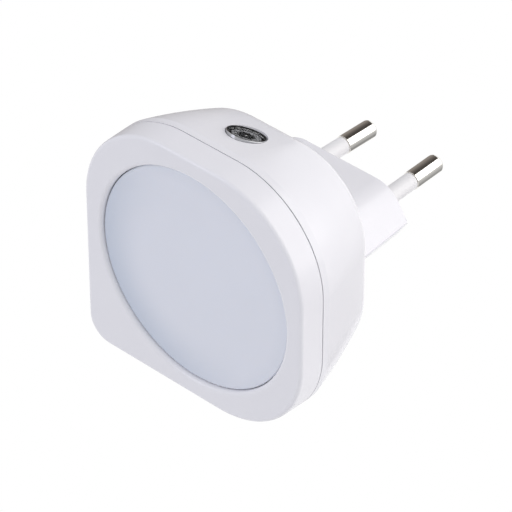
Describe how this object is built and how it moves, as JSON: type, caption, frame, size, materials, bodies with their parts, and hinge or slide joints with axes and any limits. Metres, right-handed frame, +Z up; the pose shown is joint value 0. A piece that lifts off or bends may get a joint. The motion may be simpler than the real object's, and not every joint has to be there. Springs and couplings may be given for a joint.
{
  "type": "plug-in night light",
  "caption": "Square plug-in night light with rounded corners, a round opal diffuser, a dusk sensor on top and a two-pin mains plug behind.",
  "frame": {"origin": "centre of the plug's engagement face, midway between the pins", "axes": "+X to the viewer's right, +Y into the socket along the pins, +Z up; the lit face looks along -Y"},
  "size_m": [0.0574, 0.0625, 0.0574],
  "materials": {
    "white_shell": "glossy moulded shell",
    "opal": "satin opal",
    "white_inner": "satin white moulding",
    "pin_metal": "polished nickel plate",
    "pin_sleeve": "smooth white sleeve",
    "trim_chrome": "bright",
    "clear_window": "clear",
    "black_gloss": "glossy black",
    "cell_grey": "smoky moulded rim",
    "board_white": "white solder mask",
    "board_green": "green solder mask",
    "lamp_yellow": "phosphor",
    "screw_zinc": "zinc plated",
    "film_red": "dipped red case",
    "can_sleeve": "shrunk black sleeve",
    "chip_black": "matt moulded",
    "resistor_body": "painted ceramic",
    "wire_brown": "insulation",
    "wire_blue": "insulation",
    "wire_red": "insulation",
    "wire_black": "insulation",
    "lead_tin": "tinned"
  },
  "bodies": {
    "root": {"front_bezel": "white_shell", "diffuser": "opal", "light_box": "white_inner", "led_board": "board_white", "led_packages": "lamp_yellow", "led_board_screws": "screw_zinc", "rear_housing": "white_shell", "sensor_ring": "trim_chrome", "sensor_window": "clear_window", "sensor_cup": "black_gloss", "photocell": "cell_grey", "photocell_lens": "black_gloss", "photocell_leads": "lead_tin", "plug_pin_left": "pin_metal", "plug_pin_right": "pin_metal", "pin_sleeve_left": "pin_sleeve", "pin_sleeve_right": "pin_sleeve", "pin_retainer": "white_inner", "pin_retainer_screw": "screw_zinc", "driver_board": "board_green", "driver_board_screws": "screw_zinc", "film_capacitor": "film_red", "electrolytic_capacitor": "can_sleeve", "bridge_rectifier": "chip_black", "fusible_resistor": "resistor_body", "chip_resistors": "chip_black", "switching_transistor": "chip_black", "live_wire": "wire_brown", "neutral_wire": "wire_blue", "lamp_wire_positive": "wire_red", "lamp_wire_negative": "wire_black"}
  },
  "joints": []
}
